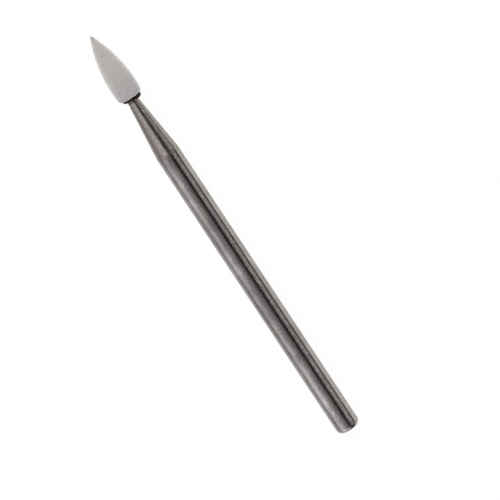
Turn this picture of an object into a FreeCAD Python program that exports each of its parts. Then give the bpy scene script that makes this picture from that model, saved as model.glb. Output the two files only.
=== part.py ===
import FreeCAD, Part
import math
import os

# Dental finishing stone: a flame-shaped white stone cemented on the pin of a steel handpiece shank.
#
# The real thing has three pieces. The shank is turned from one steel bar: a round shaft that a
# handpiece grips, a slender cone, and a neck that runs on into the stone as a plain pin. The stone is
# a small flame-shaped body with a blind hole in its base. Dark cement fills the gap between pin and
# hole, and what was squeezed out stands as a bead round the neck.
#
# Frame: the instrument lies along X. The origin is the centre of the shank's flat end, +X points to
# the tip of the stone and +Z is up as the instrument lies on a bench. All sizes are millimetres.

# Whole instrument
OVERALL_LENGTH = 44.5        # from the shank's flat end to the tip of the stone

# Shank
SHANK_DIAMETER = 2.35        # the standard size of a straight handpiece
SHANK_END_ROUNDING = 0.6     # radius between the shaft's side and its flat end
CONE_LENGTH = 5.76           # along the axis, from the shaft to the neck
NECK_DIAMETER = 1.12
NECK_LENGTH = 0.52           # bare stretch between the cone and the base of the stone
PIN_DEPTH = 3.8              # how far the neck runs on into the stone
PIN_CHAMFER = 0.15

# Stone
STONE_LENGTH = 6.75
STONE_DIAMETER = 2.55        # at the belly, its widest place
STONE_BELLY_HEIGHT = 1.25    # from the base to the belly
STONE_TIP_RADIUS = 0.11
STONE_BASE_ROUNDING = 0.35

# Cement
CEMENT_FILM = 0.05           # thickness round the pin and past its end
BEAD_DIAMETER = 1.94         # where the bead meets the base of the stone
BEAD_HEIGHT = 0.36           # how far it creeps down the neck
LUMP_REACH = 0.99            # the bead was laid by hand, and on one side it swells this far from the axis
LUMP_HEIGHT = 0.54           # how far the lump comes down from the base of the stone
LUMP_RISE = 0.08             # the lump's centre lies this deep in the stone

# Places along X that follow from the sizes
STONE_BASE_X = OVERALL_LENGTH - STONE_LENGTH
NECK_START_X = STONE_BASE_X - NECK_LENGTH
CONE_START_X = NECK_START_X - CONE_LENGTH
PIN_END_X = STONE_BASE_X + PIN_DEPTH
HOLE_END_X = PIN_END_X + CEMENT_FILM

# Radii that follow from the diameters
SHANK_RADIUS = SHANK_DIAMETER / 2
NECK_RADIUS = NECK_DIAMETER / 2
HOLE_RADIUS = NECK_RADIUS + CEMENT_FILM
STONE_RADIUS = STONE_DIAMETER / 2
BEAD_RADIUS = BEAD_DIAMETER / 2

ORIGIN = FreeCAD.Vector(0, 0, 0)
X_AXIS = FreeCAD.Vector(1, 0, 0)


def point(x, radius):
    """A point of a profile: its place along the axis and its distance from it."""
    return FreeCAD.Vector(x, radius, 0)


def lines(*points):
    """Straight profile edges through the points."""
    return [Part.makeLine(a, b) for a, b in zip(points, points[1:])]


def arc(start, centre, end):
    """The short circular edge from start to end about centre."""
    radius = (start - centre).Length
    middle = ((start + end) * 0.5 - centre).normalize() * radius + centre
    return Part.Arc(start, middle, end).toShape()


def turned(edges):
    """The solid that a profile sweeps in one full turn about the axis."""
    face = Part.Face(Part.Wire(edges))
    solid = face.revolve(ORIGIN, X_AXIS, 360)
    if solid.Volume < 0:
        solid.reverse()
    return solid


def rod(start_x, end_x, radius):
    """A plain cylinder on the axis."""
    return Part.makeCylinder(radius, end_x - start_x, point(start_x, 0), X_AXIS)


def make_shank():
    """Shaft, cone, neck and pin, turned in one piece from the bar."""
    rounding_centre = point(SHANK_END_ROUNDING, SHANK_RADIUS - SHANK_END_ROUNDING)
    end_face_rim = point(0, rounding_centre.y)
    shaft_start = point(SHANK_END_ROUNDING, SHANK_RADIUS)
    return turned(
        lines(ORIGIN, end_face_rim)
        + [arc(end_face_rim, rounding_centre, shaft_start)]
        + lines(
            shaft_start,
            point(CONE_START_X, SHANK_RADIUS),
            point(NECK_START_X, NECK_RADIUS),
            point(PIN_END_X - PIN_CHAMFER, NECK_RADIUS),
            point(PIN_END_X, NECK_RADIUS - PIN_CHAMFER),
            point(PIN_END_X, 0),
            ORIGIN,
        )
    )


def make_flame():
    """The stone without its hole. One large arc makes the flank, tangent to the tip and to the base rounding."""
    belly_x = STONE_BASE_X + STONE_BELLY_HEIGHT
    tip_centre = point(OVERALL_LENGTH - STONE_TIP_RADIUS, 0)

    # The flank touches the belly's radius at the belly and holds the tip's circle inside it.
    reach = tip_centre.x - belly_x
    flank_radius = (reach**2 + STONE_RADIUS**2 - STONE_TIP_RADIUS**2) / (2 * (STONE_RADIUS - STONE_TIP_RADIUS))
    flank_centre = point(belly_x, STONE_RADIUS - flank_radius)
    tip_joint = flank_centre + (tip_centre - flank_centre).normalize() * flank_radius

    # The base rounding is tangent to the flank and to the flat base.
    rounding_x = STONE_BASE_X + STONE_BASE_ROUNDING
    rounding_rise = math.sqrt((flank_radius - STONE_BASE_ROUNDING) ** 2 - (rounding_x - belly_x) ** 2)
    rounding_centre = point(rounding_x, flank_centre.y + rounding_rise)
    base_joint = flank_centre + (rounding_centre - flank_centre).normalize() * flank_radius
    base_rim = point(STONE_BASE_X, rounding_centre.y)

    tip = point(OVERALL_LENGTH, 0)
    base_centre = point(STONE_BASE_X, 0)
    return turned(
        lines(base_centre, base_rim)
        + [
            arc(base_rim, rounding_centre, base_joint),
            arc(base_joint, flank_centre, tip_joint),
            arc(tip_joint, tip_centre, tip),
        ]
        + lines(tip, base_centre)
    )


def make_hole():
    """The space in the stone that the pin and its cement take up."""
    return rod(STONE_BASE_X, HOLE_END_X, HOLE_RADIUS)


def make_stone():
    """The flame with its blind hole."""
    return make_flame().cut(make_hole())


def make_bead():
    """The squeezed-out cement: a fillet all round the neck, swollen to a lump on the -Y side."""
    # Both shapes run on into the stone, which trims them to its own base.
    root = STONE_BASE_ROUNDING / 2
    spread = (BEAD_RADIUS - NECK_RADIUS) / BEAD_HEIGHT
    fillet_start = point(STONE_BASE_X - BEAD_HEIGHT, 0)
    fillet = Part.makeCone(NECK_RADIUS, BEAD_RADIUS + spread * root, BEAD_HEIGHT + root, fillet_start, X_AXIS)

    lump_radius = LUMP_HEIGHT + LUMP_RISE
    lump_offset = LUMP_REACH - math.sqrt(lump_radius**2 - LUMP_RISE**2)
    lump_centre = point(STONE_BASE_X + LUMP_RISE, -lump_offset)
    lump = Part.makeSphere(lump_radius, lump_centre, X_AXIS)
    # Both seams are turned to where the other shape or the neck swallows them.
    fillet.rotate(ORIGIN, X_AXIS, 90)
    lump.rotate(lump_centre, X_AXIS, -90)
    lump_zone = rod(STONE_BASE_X - LUMP_HEIGHT, STONE_BASE_X + root, STONE_RADIUS)
    return fillet.fuse(lump.common(lump_zone)).cut(make_flame())


def make_cement():
    """The film round the pin and the bead at the base, set as one piece."""
    return make_hole().fuse(make_bead()).cut(make_shank()).removeSplitter()


def export(name, shape):
    """Writes one piece as a single clean solid."""
    solids = shape.Solids
    if len(solids) != 1 or not shape.isValid():
        raise ValueError(f"{name} came out as {len(solids)} solids, valid: {shape.isValid()}")
    solids[0].exportStep(f"parts/{name}.step")
    box = solids[0].BoundBox
    print(f"{name}: {solids[0].Volume:.3f} mm3, X {box.XMin:.3f} to {box.XMax:.3f}, widest {box.YLength:.3f}")


os.makedirs("parts", exist_ok=True)
export("shank", make_shank())
export("stone", make_stone())
export("cement", make_cement())
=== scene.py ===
# %% [markdown]
# A dental finishing stone, lying on a white bench. It is a steel shank that a straight handpiece grips,
# with a small white flame of fired abrasive cemented on its end.
# The measured solids are loaded first, as a frame that is never moved. Everything modelled below stands
# for one of them, in the same place and at the same size. The instrument lies along X: the shank's flat
# end is at the origin, +X points to the tip of the stone and +Z is up. Blender's lengths are metres.

# %% Load the measured solids
import bpy
import bmesh
import math
from mathutils import Matrix, Vector


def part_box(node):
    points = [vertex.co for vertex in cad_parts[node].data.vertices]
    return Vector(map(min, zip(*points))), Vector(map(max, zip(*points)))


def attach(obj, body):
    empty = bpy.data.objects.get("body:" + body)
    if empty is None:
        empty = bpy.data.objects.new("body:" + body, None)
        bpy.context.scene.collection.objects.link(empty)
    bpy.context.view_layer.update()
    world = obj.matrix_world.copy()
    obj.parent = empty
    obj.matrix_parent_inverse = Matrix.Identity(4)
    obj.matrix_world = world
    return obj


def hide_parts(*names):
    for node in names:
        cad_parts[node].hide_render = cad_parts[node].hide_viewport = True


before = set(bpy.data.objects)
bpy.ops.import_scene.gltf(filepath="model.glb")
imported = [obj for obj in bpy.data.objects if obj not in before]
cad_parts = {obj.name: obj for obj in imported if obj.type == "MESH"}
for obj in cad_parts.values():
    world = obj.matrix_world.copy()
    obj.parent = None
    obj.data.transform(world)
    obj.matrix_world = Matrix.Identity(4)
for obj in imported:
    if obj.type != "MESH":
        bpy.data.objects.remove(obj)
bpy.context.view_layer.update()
print("measured solids:", sorted(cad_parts))

# %% [markdown]
# The real thing is smaller than a match, so its sizes are written in millimetres and turned to metres
# by one value. Lengths and widths come from the solids' own boxes. What a box can't tell, such as a
# rounding or the length of a cone, is named here once.

# %% Sizes
MM = 0.001

SHANK_END_ROUNDING = 0.6 * MM
CONE_LENGTH = 5.76 * MM
NECK_LENGTH = 0.52 * MM
NECK_RADIUS = 0.56 * MM
PIN_CHAMFER = 0.15 * MM
TURNED_LAND = 0.23 * MM         # the lathe's finish runs this far past the cone onto the shaft

STONE_BELLY_HEIGHT = 1.25 * MM
STONE_TIP_RADIUS = 0.11 * MM
STONE_BASE_ROUNDING = 0.35 * MM

CEMENT_FILM = 0.05 * MM
BEAD_RADIUS = 0.93 * MM
BEAD_HEIGHT = 0.27 * MM

shank_low, shank_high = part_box("shank")
stone_low, stone_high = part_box("stone")

shank_radius = shank_high[1]
pin_end_x = shank_high[0]
stone_radius = stone_high[1]
stone_base_x = stone_low[0]
tip_x = stone_high[0]
neck_start_x = stone_base_x - NECK_LENGTH
cone_start_x = neck_start_x - CONE_LENGTH
hole_radius = NECK_RADIUS + CEMENT_FILM
hole_end_x = pin_end_x + CEMENT_FILM
print(f"shank {shank_radius * 2 / MM:.2f} mm thick, stone {(tip_x - stone_base_x) / MM:.2f} mm long")

# %% [markdown]
# All three pieces are bodies of revolution, so each is made the way a lathe makes it: half of its
# outline is drawn beside the axis, and one full turn sweeps it into a solid. The outline itself needs
# no list of points. It starts from one vertex. Extruding that vertex draws a straight stretch, and
# spinning it about a centre draws an arc.

# %% Draw an outline and turn it
WELD_DISTANCE = 1e-8


def draw_line(bm, vertex, x, radius):
    """Draws the outline straight on to a place and returns its last vertex."""
    new = bmesh.ops.extrude_vert_indiv(bm, verts=[vertex])["verts"][0]
    new.co = (x, radius, 0)
    return new


def draw_arc(bm, vertex, centre, degrees, steps):
    """Draws the outline on round a centre and returns its last vertex. Clockwise seen from +Z is negative."""
    swept = bmesh.ops.spin(bm, geom=[vertex], cent=centre, axis=(0, 0, 1), dvec=(0, 0, 0),
                           angle=math.radians(degrees), steps=steps, use_merge=False, use_duplicate=False)
    return [item for item in swept["geom_last"] if isinstance(item, bmesh.types.BMVert)][0]


def turn(bm, steps, sharp_degrees=4.0):
    """Sweeps the outline once round the X axis. Corners keep a crisp edge, arcs and facets are smoothed."""
    bmesh.ops.spin(bm, geom=bm.verts[:] + bm.edges[:], cent=(0, 0, 0), axis=(1, 0, 0), dvec=(0, 0, 0),
                   angle=math.tau, steps=steps, use_merge=True, use_duplicate=False)
    bmesh.ops.remove_doubles(bm, verts=bm.verts[:], dist=WELD_DISTANCE)
    bmesh.ops.recalc_face_normals(bm, faces=bm.faces[:])
    for face in bm.faces:
        face.smooth = True
    for edge in bm.edges:
        edge.smooth = edge.calc_face_angle(0.0) < math.radians(sharp_degrees)


def finish_piece(bm, name, node):
    """Makes the object, hides the solid that it stands for and lets it ride with the instrument."""
    mesh = bpy.data.meshes.new(name)
    bm.to_mesh(mesh)
    open_edges = sum(1 for edge in bm.edges if len(edge.link_faces) != 2)
    print(f"{name}: {len(bm.faces)} faces, {open_edges} open edges, {bm.calc_volume() * 1e9:.3f} mm3")
    bm.free()
    piece = bpy.data.objects.new(name, mesh)
    bpy.context.collection.objects.link(piece)
    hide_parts(node)
    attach(piece, "root")
    return piece


# %% [markdown]
# The shank is turned from one bar of stainless steel: a rounded flat end, the shaft that a handpiece
# grips, a slender cone, and a neck that runs on into the stone as a plain pin. A cylinder primitive
# with a bevel could make the shaft, but one outline keeps the cone, neck and pin in line and gives
# every corner its real place. The outline also gets a vertex where the lathe's finish meets the
# ground one, because two finishes with a hard border need faces of their own.

# %% Shank
GROUND, TURNED, ROLLED, NECK_SHADE = range(4)      # the finishes, in the order they are put on below
NECK_SHADE_EDGE = -0.3 * NECK_RADIUS                 # the neck is painted darker from here to +Y, as painted shade and reflection of the bead

bm = bmesh.new()
end_centre = bm.verts.new((0, 0, 0))
pen = draw_line(bm, end_centre, 0, shank_radius - SHANK_END_ROUNDING)
pen = draw_arc(bm, pen, (SHANK_END_ROUNDING, shank_radius - SHANK_END_ROUNDING, 0), -90, 32)
finish_border_x = cone_start_x - TURNED_LAND
pen = draw_line(bm, pen, finish_border_x, shank_radius)
pen = draw_line(bm, pen, cone_start_x, shank_radius)
pen = draw_line(bm, pen, neck_start_x, NECK_RADIUS)
pen = draw_line(bm, pen, pin_end_x - PIN_CHAMFER, NECK_RADIUS)
pen = draw_line(bm, pen, pin_end_x, NECK_RADIUS - PIN_CHAMFER)
pen = draw_line(bm, pen, pin_end_x, 0)
turn(bm, steps=128)
for face in bm.faces:
    x, y, _ = face.calc_center_median()
    if x > neck_start_x and y > NECK_SHADE_EDGE:
        face.material_index = NECK_SHADE
    elif x > finish_border_x:
        face.material_index = TURNED
    elif x < SHANK_END_ROUNDING:
        face.material_index = ROLLED
    else:
        face.material_index = GROUND
shank = finish_piece(bm, "turned_shank", "shank")

# %% [markdown]
# The stone is moulded and fired as a flame, then trued on a wheel. Its flank is one long arc that
# starts at the belly, its widest place, and runs tangent into a tiny round tip. The other way it runs
# into the rounding of the base. Two circles touch where the line through their centres meets them,
# and that gives each arc its angle. The base has the blind hole that holds the pin.

# %% Stone
belly_x = stone_base_x + STONE_BELLY_HEIGHT
tip_centre_x = tip_x - STONE_TIP_RADIUS
reach = tip_centre_x - belly_x
flank_radius = (reach**2 + stone_radius**2 - STONE_TIP_RADIUS**2) / (2 * (stone_radius - STONE_TIP_RADIUS))
flank_centre = Vector((belly_x, stone_radius - flank_radius, 0))
rounding_x = stone_base_x + STONE_BASE_ROUNDING
rounding_rise = math.sqrt((flank_radius - STONE_BASE_ROUNDING) ** 2 - (rounding_x - belly_x) ** 2)
rounding_centre = Vector((rounding_x, flank_centre.y + rounding_rise, 0))
tip_lean = math.degrees(math.asin(reach / (flank_radius - STONE_TIP_RADIUS)))
base_lean = math.degrees(math.asin((belly_x - rounding_x) / (flank_radius - STONE_BASE_ROUNDING)))
print(f"flank radius {flank_radius / MM:.2f} mm, leaning {tip_lean:.1f} degrees at the tip")

bm = bmesh.new()
hole_end = bm.verts.new((hole_end_x, 0, 0))
pen = draw_line(bm, hole_end, hole_end_x, hole_radius)
pen = draw_line(bm, pen, stone_base_x, hole_radius)
pen = draw_line(bm, pen, stone_base_x, rounding_centre.y)
pen = draw_arc(bm, pen, rounding_centre, -(90 - base_lean), 28)
pen = draw_arc(bm, pen, flank_centre, -(base_lean + tip_lean), 150)
pen = draw_arc(bm, pen, (tip_centre_x, 0, 0), -(90 - tip_lean), 12)
pen.co = (tip_x, 0, 0)          # the arcs end a hair off the axis, and this closes the tip
turn(bm, steps=192)
stone = finish_piece(bm, "flame_stone", "stone")

# %% [markdown]
# The cement fills the hole round the pin, and what was squeezed out stands as a dark bead between
# stone and neck. It was laid by hand, so it isn't even: on the -Y side it swells to a lump, and it
# comes lower on both sides than on top. The bead is turned as a plain cone of many narrow rings, and
# then its skin is pushed out and down, ring by ring. Sculpting it would do as well, but this way each
# bulge has a size.

# %% Cement, turned
BEAD_RINGS = 16

bm = bmesh.new()
film_end = bm.verts.new((hole_end_x, 0, 0))
pen = draw_line(bm, film_end, hole_end_x, hole_radius)
pen = draw_line(bm, pen, stone_base_x, hole_radius)
pen = draw_line(bm, pen, stone_base_x, BEAD_RADIUS)
for ring in range(1, BEAD_RINGS + 1):
    share = ring / BEAD_RINGS
    ring_radius = BEAD_RADIUS + (NECK_RADIUS - BEAD_RADIUS) * share
    pen = draw_line(bm, pen, stone_base_x - BEAD_HEIGHT * share, ring_radius)
pen = draw_line(bm, pen, pin_end_x - PIN_CHAMFER, NECK_RADIUS)
pen = draw_line(bm, pen, pin_end_x, NECK_RADIUS - PIN_CHAMFER)
pen = draw_line(bm, pen, pin_end_x, 0)
turn(bm, steps=96, sharp_degrees=30)
print(f"bead {BEAD_HEIGHT / MM:.2f} mm high before its skin is laid")

# %% Cement, laid by hand
LUMP_REACH = 0.06 * MM          # how much further the lump stands out along the base of the stone
LUMP_DROP = 0.11 * MM           # how much further it comes down the neck
SIDE_DROP = 0.09 * MM           # how much lower the bead comes on both sides than on top
BEAD_SWELL = 0.12 * MM          # how much its skin bulges all round
LUMP_SWELL = 0.07 * MM          # how much more it bulges at the lump
SWELL_OUT, SWELL_DOWN = 0.75, 0.5               # the bulge's parts away from the axis and down the neck
TINY_SHARE = 0.001

for vertex in bm.verts:
    radius = math.hypot(vertex.co.y, vertex.co.z)
    share = (stone_base_x - vertex.co.x) / BEAD_HEIGHT          # 0 at the base of the stone, 1 down the neck
    inside_rim = share < TINY_SHARE and radius < BEAD_RADIUS - TINY_SHARE * MM
    in_stone = share < -TINY_SHARE or inside_rim
    if in_stone:
        continue
    outward = Vector((0, vertex.co.y, vertex.co.z)) / radius
    facing = (0.5 - 0.5 * outward.y) ** 2                       # 1 at the lump, 0 across from it
    sideways = outward.y ** 2                                   # 1 on both sides, 0 on top and below
    swell = (BEAD_SWELL + LUMP_SWELL * facing) * math.sin(math.pi * min(share, 1.0))
    vertex.co += outward * (LUMP_REACH * facing * (1 - share) + swell * SWELL_OUT)
    vertex.co.x -= (LUMP_DROP * facing + SIDE_DROP * sideways) * share + swell * SWELL_DOWN
bmesh.ops.recalc_face_normals(bm, faces=bm.faces[:])
cement = finish_piece(bm, "cement_bead", "cement")

# %% [markdown]
# Materials are built from nodes. Colours are written as the sRGB hex values that a screen shows, and
# Blender's shaders want them linear, so one function turns them. One more function adds a node with
# its settings and links, which keeps each material down to the lines that say something about it.

# %% Colour and node helpers


def linear(hex_colour):
    """The linear RGBA of an sRGB hex colour."""
    channels = [int(hex_colour[i:i + 2], 16) / 255 for i in (1, 3, 5)]
    return tuple(c / 12.92 if c <= 0.04045 else ((c + 0.055) / 1.055) ** 2.4 for c in channels) + (1.0,)


def add(tree, kind, inputs=None, **settings):
    """Adds a node. Inputs are values, or outputs of other nodes to link from."""
    node = tree.nodes.new(kind)
    for name, value in settings.items():
        setattr(node, name, value)
    for name, value in (inputs or {}).items():
        socket = node.inputs[name]
        if isinstance(value, bpy.types.NodeSocket):
            tree.links.new(value, socket)
        else:
            socket.default_value = value
    return node


def new_material(name):
    """An empty material and the shader that its surface ends in."""
    material = bpy.data.materials.new(name)
    material.use_nodes = True
    tree = material.node_tree
    return material, tree, tree.nodes["Principled BSDF"]


# %% [markdown]
# Both the grinding wheel and the lathe's cutter leave rings round the bar. They are a hundredth of a
# millimetre apart, too fine for this picture, so they are drawn about ten times coarser. Their small
# slopes smear a reflection along the bar and leave it sharp across, which gives the eye long crisp
# bands. A noise that is stretched round the bar makes them: it changes fast along X and slowly along
# the other two. The same noise, stretched less, makes the specks.

# %% Rings round the bar
GROUND_RING = 0.1 * MM
TURNED_RING = 0.14 * MM
RING_TONE = 0.36                # how much the rings change the tone
SPECK_STRETCH = 0.6             # a speck's pace round the bar, which makes it nearly round


def ring_noise(tree, place, ring, detail=3.0, across=0.06):
    """Noise that changes fast along the bar and slowly round it. across is its pace round the bar."""
    pace = (1 / ring, across / ring, across / ring)
    stretched = add(tree, "ShaderNodeMapping", {"Vector": place, "Scale": pace})
    return add(tree, "ShaderNodeTexNoise", {"Vector": stretched.outputs[0], "Scale": 1.0, "Detail": detail})


# %% [markdown]
# A used shank isn't one even grey. It has streaks along it from sliding in and out of the handpiece,
# worn places a few millimetres long, faint heat tints, and specks, which are pits and burrs that
# catch a lamp; their glints are painted into the colour as bright specks. All of them change the tone
# only, because at this size a bump would break up the bands. They aren't the same all round either:
# the painted glints lie thickest, in clusters, on one strip beside the top, where the dimmer lamp on
# the right is mirrored, the top is finely mottled, and the +Y side of the top is worn in patches.
# Which side a point is on follows from the direction in which it lies from the axis.

# %% Marks of use, and painted glints
GROUND_SPECK = 0.1 * MM
TURNED_SPECK = 0.15 * MM
SPECK_CLUSTER = 1.4 * MM
STREAK = 0.22 * MM
STREAK_LENGTH = STREAK / 0.3
STAIN = 0.5 * MM
WORN_PLACE = 2.2 * MM
# the side where the painted glints are strongest, the strip that mirrors the dim lamp on the right
GLINTING_SIDE = (0, -0.5, 0.866)
MOTTLED_SIDE = (0, 0, 1)
PATCHY_SIDE = (0, 0.454, 0.891)
SPECKS_ELSEWHERE = 0.15         # the share of the specks that the rest of the bar has
MOTTLING = 0.65
PATCHING = 0.3


def on_side(tree, outward, side, near, far, most, least=0.0):
    """A strength that is most on one side of the bar and falls to least between two distances from it."""
    away = add(tree, "ShaderNodeVectorMath", {0: outward, 1: side}, operation="DISTANCE")
    strength = add(tree, "ShaderNodeMapRange", {"Value": away.outputs["Value"], "From Min": near,
                                                "From Max": far, "To Min": most, "To Max": least})
    return strength.outputs[0]


def worn_tone(tree, place, rings, speck, wear_and_glints):
    """The tone of used steel, about 1. speck is a speck's size; the last argument sets how strongly it is
    marked and how bright its painted glints are.
    """
    flat = add(tree, "ShaderNodeVectorMath", {0: place, 1: (0, 1, 1)}, operation="MULTIPLY")
    outward = add(tree, "ShaderNodeVectorMath", {0: flat.outputs[0]}, operation="NORMALIZE").outputs[0]
    # painted glints: strongest on that strip, weaker on the rest of the bar
    glinting = on_side(tree, outward, GLINTING_SIDE, near=0.12, far=0.3, most=wear_and_glints,
                      least=SPECKS_ELSEWHERE * wear_and_glints)
    mottled = on_side(tree, outward, MOTTLED_SIDE, near=0.15, far=0.35, most=MOTTLING * wear_and_glints)
    patched = on_side(tree, outward, PATCHY_SIDE, near=0.25, far=0.5, most=PATCHING * wear_and_glints)

    # Streaks along the bar, darker or paler as the place is worn, with the rings on them.
    pace = (1 / STREAK_LENGTH, 1 / STREAK, 1 / STREAK)
    drawn = add(tree, "ShaderNodeMapping", {"Vector": place, "Scale": pace})
    streaks = add(tree, "ShaderNodeTexNoise", {"Vector": drawn.outputs[0], "Scale": 1.0, "Detail": 4.0})
    streak_tone = add(tree, "ShaderNodeMapRange", {"Value": streaks.outputs["Fac"], "From Min": 0.25,
                                                   "From Max": 0.75, "To Min": 0.62, "To Max": 1.02})
    wear = add(tree, "ShaderNodeTexNoise", {"Vector": place, "Scale": 1 / WORN_PLACE, "Detail": 2.0})
    wear_tone = add(tree, "ShaderNodeMapRange", {"Value": wear.outputs["Fac"], "From Min": 0.3,
                                                 "From Max": 0.7, "To Min": 0.87, "To Max": 1.1})
    worn = add(tree, "ShaderNodeMath", {0: streak_tone.outputs[0], 1: wear_tone.outputs[0]},
               operation="MULTIPLY")
    ringed = add(tree, "ShaderNodeMath", {0: rings.outputs["Fac"], 1: RING_TONE, 2: worn.outputs[0]},
                 operation="MULTIPLY_ADD")

    # Bright specks, painted glints: only the peaks of the grains, and more of them where the clusters are.
    grains = ring_noise(tree, place, speck, detail=2.0, across=SPECK_STRETCH)
    peaks = add(tree, "ShaderNodeMapRange", {"Value": grains.outputs["Fac"], "From Min": 0.55,
                                             "From Max": 0.7})
    clusters = add(tree, "ShaderNodeTexNoise", {"Vector": place, "Scale": 1 / SPECK_CLUSTER, "Detail": 1.0})
    crowd = add(tree, "ShaderNodeMapRange", {"Value": clusters.outputs["Fac"], "From Min": 0.42,
                                             "From Max": 0.6, "To Min": 0.5, "To Max": 1.0})
    specks = add(tree, "ShaderNodeMath", {0: peaks.outputs[0], 1: crowd.outputs[0]}, operation="MULTIPLY")
    speckled = add(tree, "ShaderNodeMath", {0: specks.outputs[0], 1: glinting, 2: ringed.outputs[0]},
                   operation="MULTIPLY_ADD")

    # Mottling and patches go both ways from the middle tone, so they are centred on zero.
    even_grains = add(tree, "ShaderNodeMath", {0: grains.outputs["Fac"], 1: 0.5}, operation="SUBTRACT")
    mottling = add(tree, "ShaderNodeMath", {0: even_grains.outputs[0], 1: mottled, 2: speckled.outputs[0]},
                   operation="MULTIPLY_ADD")
    even_wear = add(tree, "ShaderNodeMath", {0: wear.outputs["Fac"], 1: 0.5}, operation="SUBTRACT")
    patches = add(tree, "ShaderNodeMath", {0: even_wear.outputs[0], 1: patched, 2: mottling.outputs[0]},
                  operation="MULTIPLY_ADD")
    return patches.outputs[0]


# %% [markdown]
# Stainless steel is a metal, so its base colour is the colour of its mirror. It reflects a little
# less than white at a grazing angle too, which Specular Tint sets. The heat tints are a faint noise
# in each colour channel. The roughness is cloudy, so a band's edge is crisper in one place than in
# another.

# %% Steel
ROUGH_CLOUD = 0.6 * MM
HEAT_TINT = (0.22, 0.22, 0.22)
NO_TINT = (0.89, 0.89, 0.89)    # with half the tint on top this is 1
GRAZING_COLOUR = "#E9E9E9"


def steel_material(name, colour, ring, speck, wear_and_glints, roughness, ring_height):
    """Steel of one finish, with its rings, its marks of use and its painted glints."""
    material, tree, shader = new_material(name)
    place = add(tree, "ShaderNodeTexCoord").outputs["Object"]
    rings = ring_noise(tree, place, ring)
    tone = worn_tone(tree, place, rings, speck, wear_and_glints)

    stains = add(tree, "ShaderNodeTexNoise", {"Vector": place, "Scale": 1 / STAIN, "Detail": 2.0})
    tint = add(tree, "ShaderNodeVectorMath", {0: stains.outputs["Color"], 1: HEAT_TINT, 2: NO_TINT},
               operation="MULTIPLY_ADD")
    tinted = add(tree, "ShaderNodeVectorMath", {0: linear(colour)[:3], 1: tint.outputs[0]},
                 operation="MULTIPLY")
    base = add(tree, "ShaderNodeVectorMath", {0: tinted.outputs[0], "Scale": tone}, operation="SCALE")
    clouds = add(tree, "ShaderNodeTexNoise", {"Vector": place, "Scale": 1 / ROUGH_CLOUD, "Detail": 4.0})
    rough = add(tree, "ShaderNodeMapRange", {"Value": clouds.outputs["Fac"], "From Min": 0.3, "From Max": 0.7,
                                             "To Min": roughness * 0.8, "To Max": roughness * 1.2})
    bump = add(tree, "ShaderNodeBump", {"Height": rings.outputs["Fac"], "Strength": 1.0,
                                        "Distance": ring_height})
    tree.links.new(base.outputs[0], shader.inputs["Base Color"])
    tree.links.new(rough.outputs[0], shader.inputs["Roughness"])
    tree.links.new(bump.outputs[0], shader.inputs["Normal"])
    shader.inputs["Metallic"].default_value = 1.0
    shader.inputs["Specular Tint"].default_value = linear(GRAZING_COLOUR)
    print(f"{name}: {len(tree.nodes)} nodes")
    return material


# %% [markdown]
# The shaft is ground between wheels, which leaves the brightest face, with crisp bands.
# The cone, the neck and a narrow land before the cone are finished on the lathe. A cutter leaves a
# duller face than a wheel, so it is rougher, its rings stand further apart and its bands are soft.
# The rounding at the shank's end is rolled smooth after it is turned, so that it slips into a
# handpiece. It has no rings and hardly a speck, so it gives one clean glint.
# Most of the neck is painted darker than the bare steel, as painted shade and reflection of the dark
# bead beside it, and it is duller. The neck keeps a plain strip only on the -Y side.

# %% The four finishes
ground_steel = steel_material("stainless_steel_ground", "#A5A0A0", GROUND_RING, GROUND_SPECK,
                              wear_and_glints=2.4, roughness=0.14, ring_height=0.0006 * MM)
turned_steel = steel_material("stainless_steel_turned", "#A09996", TURNED_RING, TURNED_SPECK,
                              wear_and_glints=1.2, roughness=0.25, ring_height=0.0003 * MM)
rolled_steel = steel_material("stainless_steel_rolled", "#A6A0A0", GROUND_RING, GROUND_SPECK,
                              wear_and_glints=0.1, roughness=0.2, ring_height=0.0)
# painted shade and reflection of the bead on the neck, as darker, duller steel
neck_shade_steel = steel_material("stainless_steel_neck_shade", "#756C68", TURNED_RING, TURNED_SPECK,
                               wear_and_glints=0.1, roughness=0.35, ring_height=0.0)

# %% [markdown]
# Fired white abrasive: fine grit sintered to a porous stone. Every grain points another way, so it is
# matte, hardly darkens towards its outline, and keeps a pale edge there from the dust in its pores.
# Diffuse roughness gives the first and sheen the second. Its grit is about three hundredths of a
# millimetre and is drawn three times coarser to show.

# %% Fired abrasive, its grit
GRIT = 0.09 * MM
CLOUD = 1.1 * MM
GRAIN_HEIGHT = 0.006 * MM

stone_material, tree, shader = new_material("white_abrasive_fired")
place = add(tree, "ShaderNodeTexCoord").outputs["Object"]
grit = add(tree, "ShaderNodeTexNoise", {"Vector": place, "Scale": 1 / GRIT, "Detail": 3.0, "Roughness": 0.6})
grit_tone = add(tree, "ShaderNodeMix", {"Factor": grit.outputs["Fac"], "A": linear("#938E8A"),
                                        "B": linear("#E0DBD7")}, data_type="RGBA")
cloud = add(tree, "ShaderNodeTexNoise", {"Vector": place, "Scale": 1 / CLOUD, "Detail": 4.0})
cloud_share = add(tree, "ShaderNodeMapRange", {"Value": cloud.outputs["Fac"], "From Min": 0.35,
                                               "From Max": 0.7, "To Min": 0.0, "To Max": 0.3})
cloudy = add(tree, "ShaderNodeMix", {"Factor": cloud_share.outputs[0], "A": grit_tone.outputs["Result"],
                                     "B": linear("#B4B0B0")}, data_type="RGBA")
grain_bump = add(tree, "ShaderNodeBump", {"Height": grit.outputs["Fac"], "Strength": 1.0,
                                          "Distance": GRAIN_HEIGHT})
tree.links.new(grain_bump.outputs[0], shader.inputs["Normal"])
shader.inputs["Roughness"].default_value = 0.9
shader.inputs["Diffuse Roughness"].default_value = 1.0
shader.inputs["IOR"].default_value = 1.5
shader.inputs["Specular IOR Level"].default_value = 0.3
shader.inputs["Sheen Weight"].default_value = 1.0
shader.inputs["Sheen Roughness"].default_value = 0.5
print(f"grit drawn {GRIT / MM:.2f} mm wide")
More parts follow.
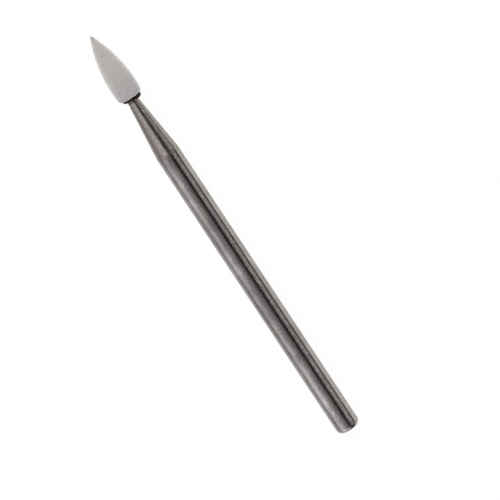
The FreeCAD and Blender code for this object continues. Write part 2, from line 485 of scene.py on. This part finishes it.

# %% [markdown]
# Handling leaves one small smudge beside the bead. The stone is also greyed bluish near the base,
# fading towards the tip, and the rim of the base is painted near white: a painted highlight along
# its edge. Each mark is mixed over the one before.

# %% Fired abrasive, its marks and painted rim highlight
SMUDGE_RADIUS = 0.35 * MM
SMUDGE_PLACE = (stone_base_x + 0.3 * MM, -0.7 * stone_radius, 0.72 * stone_radius)
BASE_GREY_REACH = 3.2 * MM
# how far from the base the painted rim highlight reaches
RIM_HIGHLIGHT = 0.2 * MM

from_smudge = add(tree, "ShaderNodeVectorMath", {0: place, 1: SMUDGE_PLACE}, operation="DISTANCE")
smudge = add(tree, "ShaderNodeMapRange", {"Value": from_smudge.outputs["Value"], "From Min": 0.0,
                                          "From Max": SMUDGE_RADIUS, "To Min": 0.35, "To Max": 0.0})
smudged = add(tree, "ShaderNodeMix", {"Factor": smudge.outputs[0], "A": cloudy.outputs["Result"],
                                      "B": linear("#8F8985")}, data_type="RGBA")
along = add(tree, "ShaderNodeSeparateXYZ", {0: place})
# greyer and bluer near the base, fading out towards the tip
base_grey = add(tree, "ShaderNodeMapRange", {"Value": along.outputs["X"], "From Min": stone_base_x,
                                        "From Max": stone_base_x + BASE_GREY_REACH, "To Min": 0.35, "To Max": 0.0})
base_greyed = add(tree, "ShaderNodeMix", {"Factor": base_grey.outputs[0], "A": smudged.outputs["Result"],
                                     "B": linear("#A7A7AE")}, data_type="RGBA")
# painted highlight: the rim of the base is painted near white
painted_rim = add(tree, "ShaderNodeMapRange", {"Value": along.outputs["X"], "From Min": stone_base_x + RIM_HIGHLIGHT,
                                       "From Max": stone_base_x, "To Min": 0.0, "To Max": 1.0})
rim_highlighted = add(tree, "ShaderNodeMix", {"Factor": painted_rim.outputs[0], "A": base_greyed.outputs["Result"],
                                     "B": linear("#F2EFEC")}, data_type="RGBA")
tree.links.new(rim_highlighted.outputs["Result"], shader.inputs["Base Color"])
print(f"{stone_material.name}: {len(tree.nodes)} nodes")

# %% [markdown]
# Dark cement, set where it ran. It cured with a skin that is half glossy and a little lumpy, so it
# shows small soft glints, and it is brown rather than black where it is thin.

# %% Set cement
CEMENT_LUMP = 0.25 * MM
CEMENT_LUMP_HEIGHT = 0.02 * MM

cement_material, tree, shader = new_material("cement_set_dark")
place = add(tree, "ShaderNodeTexCoord").outputs["Object"]
lumps = add(tree, "ShaderNodeTexNoise", {"Vector": place, "Scale": 1 / CEMENT_LUMP, "Detail": 3.0})
tint = add(tree, "ShaderNodeMix", {"Factor": lumps.outputs["Fac"], "A": linear("#120302"),
                                   "B": linear("#2C0C09")}, data_type="RGBA")
skin = add(tree, "ShaderNodeBump", {"Height": lumps.outputs["Fac"], "Strength": 1.0,
                                    "Distance": CEMENT_LUMP_HEIGHT})
tree.links.new(tint.outputs["Result"], shader.inputs["Base Color"])
tree.links.new(skin.outputs[0], shader.inputs["Normal"])
shader.inputs["Roughness"].default_value = 0.4
shader.inputs["IOR"].default_value = 1.5
shader.inputs["Specular IOR Level"].default_value = 0.15

# %% Put the finishes on
for finish in (ground_steel, turned_steel, rolled_steel, neck_shade_steel):
    shank.data.materials.append(finish)
stone.data.materials.append(stone_material)
cement.data.materials.append(cement_material)
print("finishes on the shank:", [finish.name for finish in shank.data.materials])

# %% [markdown]
# The bench is a plain white sheet. The instrument lies on it with the shaft's end and with the
# stone's belly, which is a little thicker, so the sheet leans by 0.15 degrees to touch both.

# %% Bench
BENCH_SIZE = 1.2

contact_shank = Vector((SHANK_END_ROUNDING, 0, -shank_radius))
contact_stone = Vector((belly_x, 0, -stone_radius))
bench_lean = math.atan2(contact_shank.z - contact_stone.z, contact_stone.x - contact_shank.x)
bm = bmesh.new()
bmesh.ops.create_grid(bm, x_segments=1, y_segments=1, size=BENCH_SIZE / 2)
bmesh.ops.rotate(bm, verts=bm.verts[:], cent=(0, 0, 0), matrix=Matrix.Rotation(bench_lean, 3, "Y"))
bmesh.ops.translate(bm, verts=bm.verts[:], vec=contact_stone)
bench_mesh = bpy.data.meshes.new("bench")
bm.to_mesh(bench_mesh)
bm.free()
bench = bpy.data.objects.new("bench", bench_mesh)
bpy.context.collection.objects.link(bench)
print(f"bench leans {math.degrees(bench_lean):.3f} degrees")

# %% [markdown]
# The camera and the metal see the bench as pure white, as a lit white table looks in a product
# picture. The rest of the light treats it as white paint, so it keeps a faint shadow and throws light
# back up. Light Path tells the two apart: what the camera and the mirrors see is an emission, and it
# never lights the object. The white that the metal mirrors is a shade warmer on the near side.

# %% White paint
SHADOW_SHARE = 0.08             # the share of the camera's white that stays shaded paint, for the shadow
WHITE_STRENGTH = 1.025          # makes up for that share, so that the bench comes out white
MIRRORED_WHITE = 0.85
WARM_WHITE = "#FFFDF5"
WARM_FROM = -2 * MM

bench_paint, tree, shader = new_material("white_bench")
shader.inputs["Base Color"].default_value = linear("#F0F0F0")
shader.inputs["Roughness"].default_value = 1.0
shader.inputs["Specular IOR Level"].default_value = 0.0
path = add(tree, "ShaderNodeLightPath")
camera_share = add(tree, "ShaderNodeMath", {0: path.outputs["Is Camera Ray"], 1: 1 - SHADOW_SHARE},
                   operation="MULTIPLY")
mirrored = add(tree, "ShaderNodeMath", {0: path.outputs["Is Glossy Ray"],
                                        1: path.outputs["Is Transmission Ray"]}, operation="MAXIMUM")
mirror_share = add(tree, "ShaderNodeMath", {0: mirrored.outputs[0], 1: MIRRORED_WHITE}, operation="MULTIPLY")
white_share = add(tree, "ShaderNodeMath", {0: camera_share.outputs[0], 1: mirror_share.outputs[0]},
                  operation="MAXIMUM")
place = add(tree, "ShaderNodeSeparateXYZ", {0: add(tree, "ShaderNodeTexCoord").outputs["Object"]})
near_side = add(tree, "ShaderNodeMapRange", {"Value": place.outputs["Y"], "From Min": 0.0,
                                             "From Max": WARM_FROM})
warm_share = add(tree, "ShaderNodeMath", {0: near_side.outputs[0], 1: mirrored.outputs[0]},
                 operation="MULTIPLY")
white = add(tree, "ShaderNodeMix", {"Factor": warm_share.outputs[0], "A": linear("#FFFFFF"),
                                    "B": linear(WARM_WHITE)}, data_type="RGBA")
plain_white = add(tree, "ShaderNodeEmission", {"Color": white.outputs["Result"], "Strength": WHITE_STRENGTH})
bench_mix = add(tree, "ShaderNodeMixShader", {0: white_share.outputs[0], 1: shader.outputs[0],
                                              2: plain_white.outputs[0]})

# %% [markdown]
# A real bench has an end, and past it the metal mirrors a dim room. That is where the dark lines low
# on the bar come from, so in mirrors the white fades out to both sides and behind the shank's end.
# Behind the end it reaches further back on both sides than in the middle, like a sheet with a notch,
# and this shapes the dark crescent on the end's rounding. The room has a pale wall on its left.

# %% Where the white ends in a mirror
SHEET_LEFT = 46 * MM
SHEET_RIGHT = 60 * MM
SHEET_MIDDLE = -8 * MM
SHEET_PAST_END = 2.5 * MM       # past the shank's end the white has faded out after this length
FADE_START = 0.4                # the share of that length at which the fade starts
LEFT_FLARE = 2.0                # metres further back for each metre to the left
LEFT_FLARE_START = 2 * MM       # how much further back it is straight behind the end
RIGHT_FLARE = -0.8              # metres further back for each metre to the left, so further to the right
ROOM_BROWN = "#3B3331"
PALE_WALL = "#A19A98"

beyond_left = add(tree, "ShaderNodeMapRange", {"Value": place.outputs["Y"], "From Min": SHEET_MIDDLE,
                                               "From Max": SHEET_MIDDLE + SHEET_LEFT},
                  interpolation_type="SMOOTHSTEP")
beyond_right = add(tree, "ShaderNodeMapRange", {"Value": place.outputs["Y"], "From Min": SHEET_MIDDLE,
                                                "From Max": SHEET_MIDDLE - SHEET_RIGHT},
                   interpolation_type="SMOOTHSTEP")
beyond_side = add(tree, "ShaderNodeMath", {0: beyond_left.outputs[0], 1: beyond_right.outputs[0]},
                  operation="MAXIMUM")
left_flare = add(tree, "ShaderNodeMath", {0: place.outputs["Y"], 1: LEFT_FLARE, 2: LEFT_FLARE_START},
                 operation="MULTIPLY_ADD")
right_flare = add(tree, "ShaderNodeMath", {0: place.outputs["Y"], 1: RIGHT_FLARE}, operation="MULTIPLY")
flare = add(tree, "ShaderNodeMath", {0: left_flare.outputs[0], 1: right_flare.outputs[0]},
            operation="MAXIMUM")
past_end = add(tree, "ShaderNodeMath", {0: flare.outputs[0], 1: place.outputs["X"]}, operation="ADD")
beyond_end = add(tree, "ShaderNodeMapRange", {"Value": past_end.outputs[0],
                                              "From Min": -FADE_START * SHEET_PAST_END,
                                              "From Max": -SHEET_PAST_END}, interpolation_type="SMOOTHSTEP")
beyond = add(tree, "ShaderNodeMath", {0: beyond_side.outputs[0], 1: beyond_end.outputs[0]},
             operation="MAXIMUM")
dark_share = add(tree, "ShaderNodeMath", {0: beyond.outputs[0], 1: mirrored.outputs[0]}, operation="MULTIPLY")
room_colour = add(tree, "ShaderNodeMix", {"Factor": beyond_left.outputs[0], "A": linear(ROOM_BROWN),
                                          "B": linear(PALE_WALL)}, data_type="RGBA")
dark_room = add(tree, "ShaderNodeEmission", {"Color": room_colour.outputs["Result"], "Strength": 1.0})
bench_seen = add(tree, "ShaderNodeMixShader", {0: dark_share.outputs[0], 1: bench_mix.outputs[0],
                                               2: dark_room.outputs[0]})
tree.links.new(bench_seen.outputs[0], tree.nodes["Material Output"].inputs["Surface"])
bench.data.materials.append(bench_paint)
print(f"in a mirror the bench is {(SHEET_LEFT + SHEET_RIGHT) / MM:.0f} mm wide")

# %% [markdown]
# Bare metal shows its surroundings more than itself, so the lamps are placed by what the shaft has to
# mirror: wide soft boxes on the left of the bar, a dimmer one on the right, and a dark gap above it.
# A low lamp behind the shank's end gives the rounding its glint. A soft box's brightness in a mirror
# doesn't depend on its distance, so each is given by direction, angular size and radiance, and its
# power follows. A real one is dimmer towards its edges, and one that is lit from one side is dimmer
# at the other. A few nodes in the lamp do both, and keep hard borders out of the metal.

# %% Soft boxes
LAMP_DISTANCE = 0.5
stage_centre = Vector(((shank_low[0] + tip_x) / 2, 0, 0))


def soft_box(name, across, along, width, length, radiance, edge=0.15, far_side=1.0, level=False):
    """A rectangular lamp. Angles in degrees: across leans from straight up to -Y, along leans to +X.

    edge is the share of its width over which it fades, and far_side its brightness at the -Y side.
    Its length runs along the bar, or with level set it runs level."""
    across, along = math.radians(across), math.radians(along)
    away = Vector((math.sin(along), -math.sin(across) * math.cos(along), math.cos(across) * math.cos(along)))
    side = Vector((math.cos(along), math.sin(across) * math.sin(along), -math.cos(across) * math.sin(along)))
    if level:
        side = Vector((0, 0, 1)).cross(away).normalized()
    lamp = bpy.data.lights.new(name, "AREA")
    lamp.shape = "RECTANGLE"
    lamp.size = 2 * LAMP_DISTANCE * math.tan(math.radians(length) / 2)
    lamp.size_y = 2 * LAMP_DISTANCE * math.tan(math.radians(width) / 2)
    lamp.energy = radiance * math.pi * lamp.size * lamp.size_y
    lamp.use_nodes = True
    tree = lamp.node_tree
    face_place = add(tree, "ShaderNodeNewGeometry").outputs["Parametric"]
    across_face = add(tree, "ShaderNodeSeparateXYZ", {0: face_place})
    fades = []
    for place in (across_face.outputs["X"], across_face.outputs["Y"]):
        from_middle = add(tree, "ShaderNodeMath", {0: place, 1: 0.5}, operation="SUBTRACT")
        distance = add(tree, "ShaderNodeMath", {0: from_middle.outputs[0]}, operation="ABSOLUTE")
        fade = add(tree, "ShaderNodeMapRange", {"Value": distance.outputs[0], "From Min": 0.5 - edge,
                                                "From Max": 0.5, "To Min": 1.0, "To Max": 0.0},
                   interpolation_type="SMOOTHSTEP")
        fades.append(fade.outputs[0])
    lean = add(tree, "ShaderNodeMapRange", {"Value": across_face.outputs["Y"], "To Min": far_side,
                                            "To Max": 1.0})
    both = add(tree, "ShaderNodeMath", {0: fades[0], 1: fades[1]}, operation="MULTIPLY")
    strength = add(tree, "ShaderNodeMath", {0: both.outputs[0], 1: lean.outputs[0]}, operation="MULTIPLY")
    tree.links.new(strength.outputs[0], tree.nodes["Emission"].inputs["Strength"])
    holder = bpy.data.objects.new(name, lamp)
    axes = Matrix((side, away.cross(side), away)).transposed().to_4x4()
    holder.matrix_world = Matrix.Translation(stage_centre + away * LAMP_DISTANCE) @ axes
    bpy.context.collection.objects.link(holder)
    print(f"{name}: {lamp.size:.2f} by {lamp.size_y:.2f} m, {lamp.energy:.2f} W")


soft_box("left_box", across=-63.5, along=-18, width=55, length=90, radiance=0.83, edge=0.44)
soft_box("left_top_box", across=-17, along=-22, width=78, length=84, radiance=0.8, edge=0.2, far_side=0.02)
soft_box("left_end_box", across=-50, along=-34, width=70, length=40, radiance=0.18, edge=0.12)
soft_box("left_tip_box", across=-25, along=20, width=58, length=48, radiance=0.2, edge=0.1, far_side=4.2)
soft_box("right_box", across=56.5, along=-8, width=45, length=104, radiance=0.31, edge=0.28, far_side=1.7)
soft_box("right_tip_box", across=74, along=18, width=24, length=40, radiance=0.35)
soft_box("tip_right_box", across=38, along=55, width=60, length=50, radiance=1.1)
soft_box("tip_left_box", across=-38, along=55, width=60, length=50, radiance=0.9)
soft_box("low_end_box", across=-62, along=-68.5, width=27, length=64, radiance=1.6, edge=0.25, level=True)

# %% [markdown]
# The world is the room round the bench, and it is three things at once. The camera sees plain white.
# The metal sees a dim room, with a paler haze low down and towards the pale wall. The matte stone is
# lit by soft fills: a low even one, a bright side, and two narrow ones from behind the shank's end and
# from beyond the tip, which shape the flame. A fill is narrow when the cosine of the angle to its
# middle is raised to a high power.

# %% Room
BRIGHT_SIDE = Vector((0.35, -0.75, -0.56)).normalized()
TIP_SIDE = Vector((0.87, 0, 0.5)).normalized()
EVEN_FILL = 0.035
BRIGHT_FILL = 0.53
END_FILL = 1.1
TIP_FILL = 2.3
NARROWNESS = 8.0
HORIZON_BROWN = "#8D8481"

world = bpy.data.worlds.new("studio")
bpy.context.scene.world = world
world.use_nodes = True
tree = world.node_tree
direction = add(tree, "ShaderNodeTexCoord").outputs["Generated"]
heading = add(tree, "ShaderNodeSeparateXYZ", {0: direction})

sideways = add(tree, "ShaderNodeVectorMath", {0: direction, 1: BRIGHT_SIDE}, operation="DOT_PRODUCT")
wide_fill = add(tree, "ShaderNodeMapRange", {"Value": sideways.outputs["Value"], "From Min": -0.6,
                                             "From Max": 0.85, "To Min": EVEN_FILL,
                                             "To Max": BRIGHT_FILL})
endward = add(tree, "ShaderNodeMath", {0: heading.outputs["X"], 1: -1.0}, operation="MULTIPLY",
              use_clamp=True)
end_glow = add(tree, "ShaderNodeMath", {0: endward.outputs[0], 1: NARROWNESS}, operation="POWER")
tipward = add(tree, "ShaderNodeVectorMath", {0: direction, 1: TIP_SIDE}, operation="DOT_PRODUCT")
ahead = add(tree, "ShaderNodeMath", {0: tipward.outputs["Value"], 1: 0.0}, operation="MAXIMUM")
tip_glow = add(tree, "ShaderNodeMath", {0: ahead.outputs[0], 1: NARROWNESS}, operation="POWER")
two_fills = add(tree, "ShaderNodeMath", {0: end_glow.outputs[0], 1: END_FILL, 2: wide_fill.outputs[0]},
                operation="MULTIPLY_ADD")
all_fills = add(tree, "ShaderNodeMath", {0: tip_glow.outputs[0], 1: TIP_FILL, 2: two_fills.outputs[0]},
                operation="MULTIPLY_ADD")

low = add(tree, "ShaderNodeMapRange", {"Value": heading.outputs["Z"], "From Min": 0.3, "From Max": 0.0},
          interpolation_type="SMOOTHSTEP")
leftward = add(tree, "ShaderNodeMapRange", {"Value": heading.outputs["Y"], "From Min": 0.0, "From Max": 0.6})
horizon = add(tree, "ShaderNodeMix", {"Factor": leftward.outputs[0], "A": linear(HORIZON_BROWN),
                                      "B": linear(PALE_WALL)}, data_type="RGBA")
dim_room = add(tree, "ShaderNodeMix", {"Factor": low.outputs[0], "A": linear(ROOM_BROWN),
                                       "B": horizon.outputs["Result"]}, data_type="RGBA")

path = add(tree, "ShaderNodeLightPath")
unseen = add(tree, "ShaderNodeMix", {"Factor": path.outputs["Is Glossy Ray"], "A": all_fills.outputs[0],
                                     "B": dim_room.outputs["Result"]}, data_type="RGBA")
seen = add(tree, "ShaderNodeMix", {"Factor": path.outputs["Is Camera Ray"], "A": unseen.outputs["Result"],
                                   "B": linear("#FFFFFF")}, data_type="RGBA")
tree.links.new(seen.outputs["Result"], tree.nodes["Background"].inputs["Color"])
tree.nodes["Background"].inputs["Strength"].default_value = 1.0
print(f"world: {len(tree.nodes)} nodes")

# %% [markdown]
# The camera looks down on the bench with a long lens, a little from the tip's side and from -Y. It is
# turned about its own line of sight until the instrument runs across the picture as photographed. The
# picture's middle isn't on the instrument, so the camera aims at a point beside the shaft.

# %% Camera
PICTURE_PIXELS = 500
SENSOR = 36.0
FOCAL_PIXELS = 4200
CAMERA_DISTANCE = 391 * MM
AIM = Vector((19.590 * MM, -1.430 * MM, 0))
LEAN_TO_TIP = math.radians(11.2)
LEAN_TO_SIDE = math.radians(9.0)
AXIS_IN_PICTURE = math.radians(33.453)      # between the instrument and the picture's upright

toward_camera = Vector((math.tan(LEAN_TO_TIP), -math.tan(LEAN_TO_SIDE), 1)).normalized()
along_axis = (Vector((1, 0, 0)) - toward_camera * toward_camera.x).normalized()
beside_axis = along_axis.cross(toward_camera)
picture_right = beside_axis * math.cos(AXIS_IN_PICTURE) - along_axis * math.sin(AXIS_IN_PICTURE)
picture_up = along_axis * math.cos(AXIS_IN_PICTURE) + beside_axis * math.sin(AXIS_IN_PICTURE)

camera_data = bpy.data.cameras.new("camera")
camera_data.sensor_width = SENSOR
camera_data.lens = SENSOR * FOCAL_PIXELS / PICTURE_PIXELS
camera_data.clip_start = 0.01
camera = bpy.data.objects.new("camera", camera_data)
axes = Matrix((picture_right, picture_up, toward_camera)).transposed().to_4x4()
camera.matrix_world = Matrix.Translation(AIM + toward_camera * CAMERA_DISTANCE) @ axes
bpy.context.collection.objects.link(camera)
bpy.context.scene.camera = camera
bpy.context.scene.view_settings.view_transform = "Standard"
print(f"lens {camera_data.lens:.1f} mm")
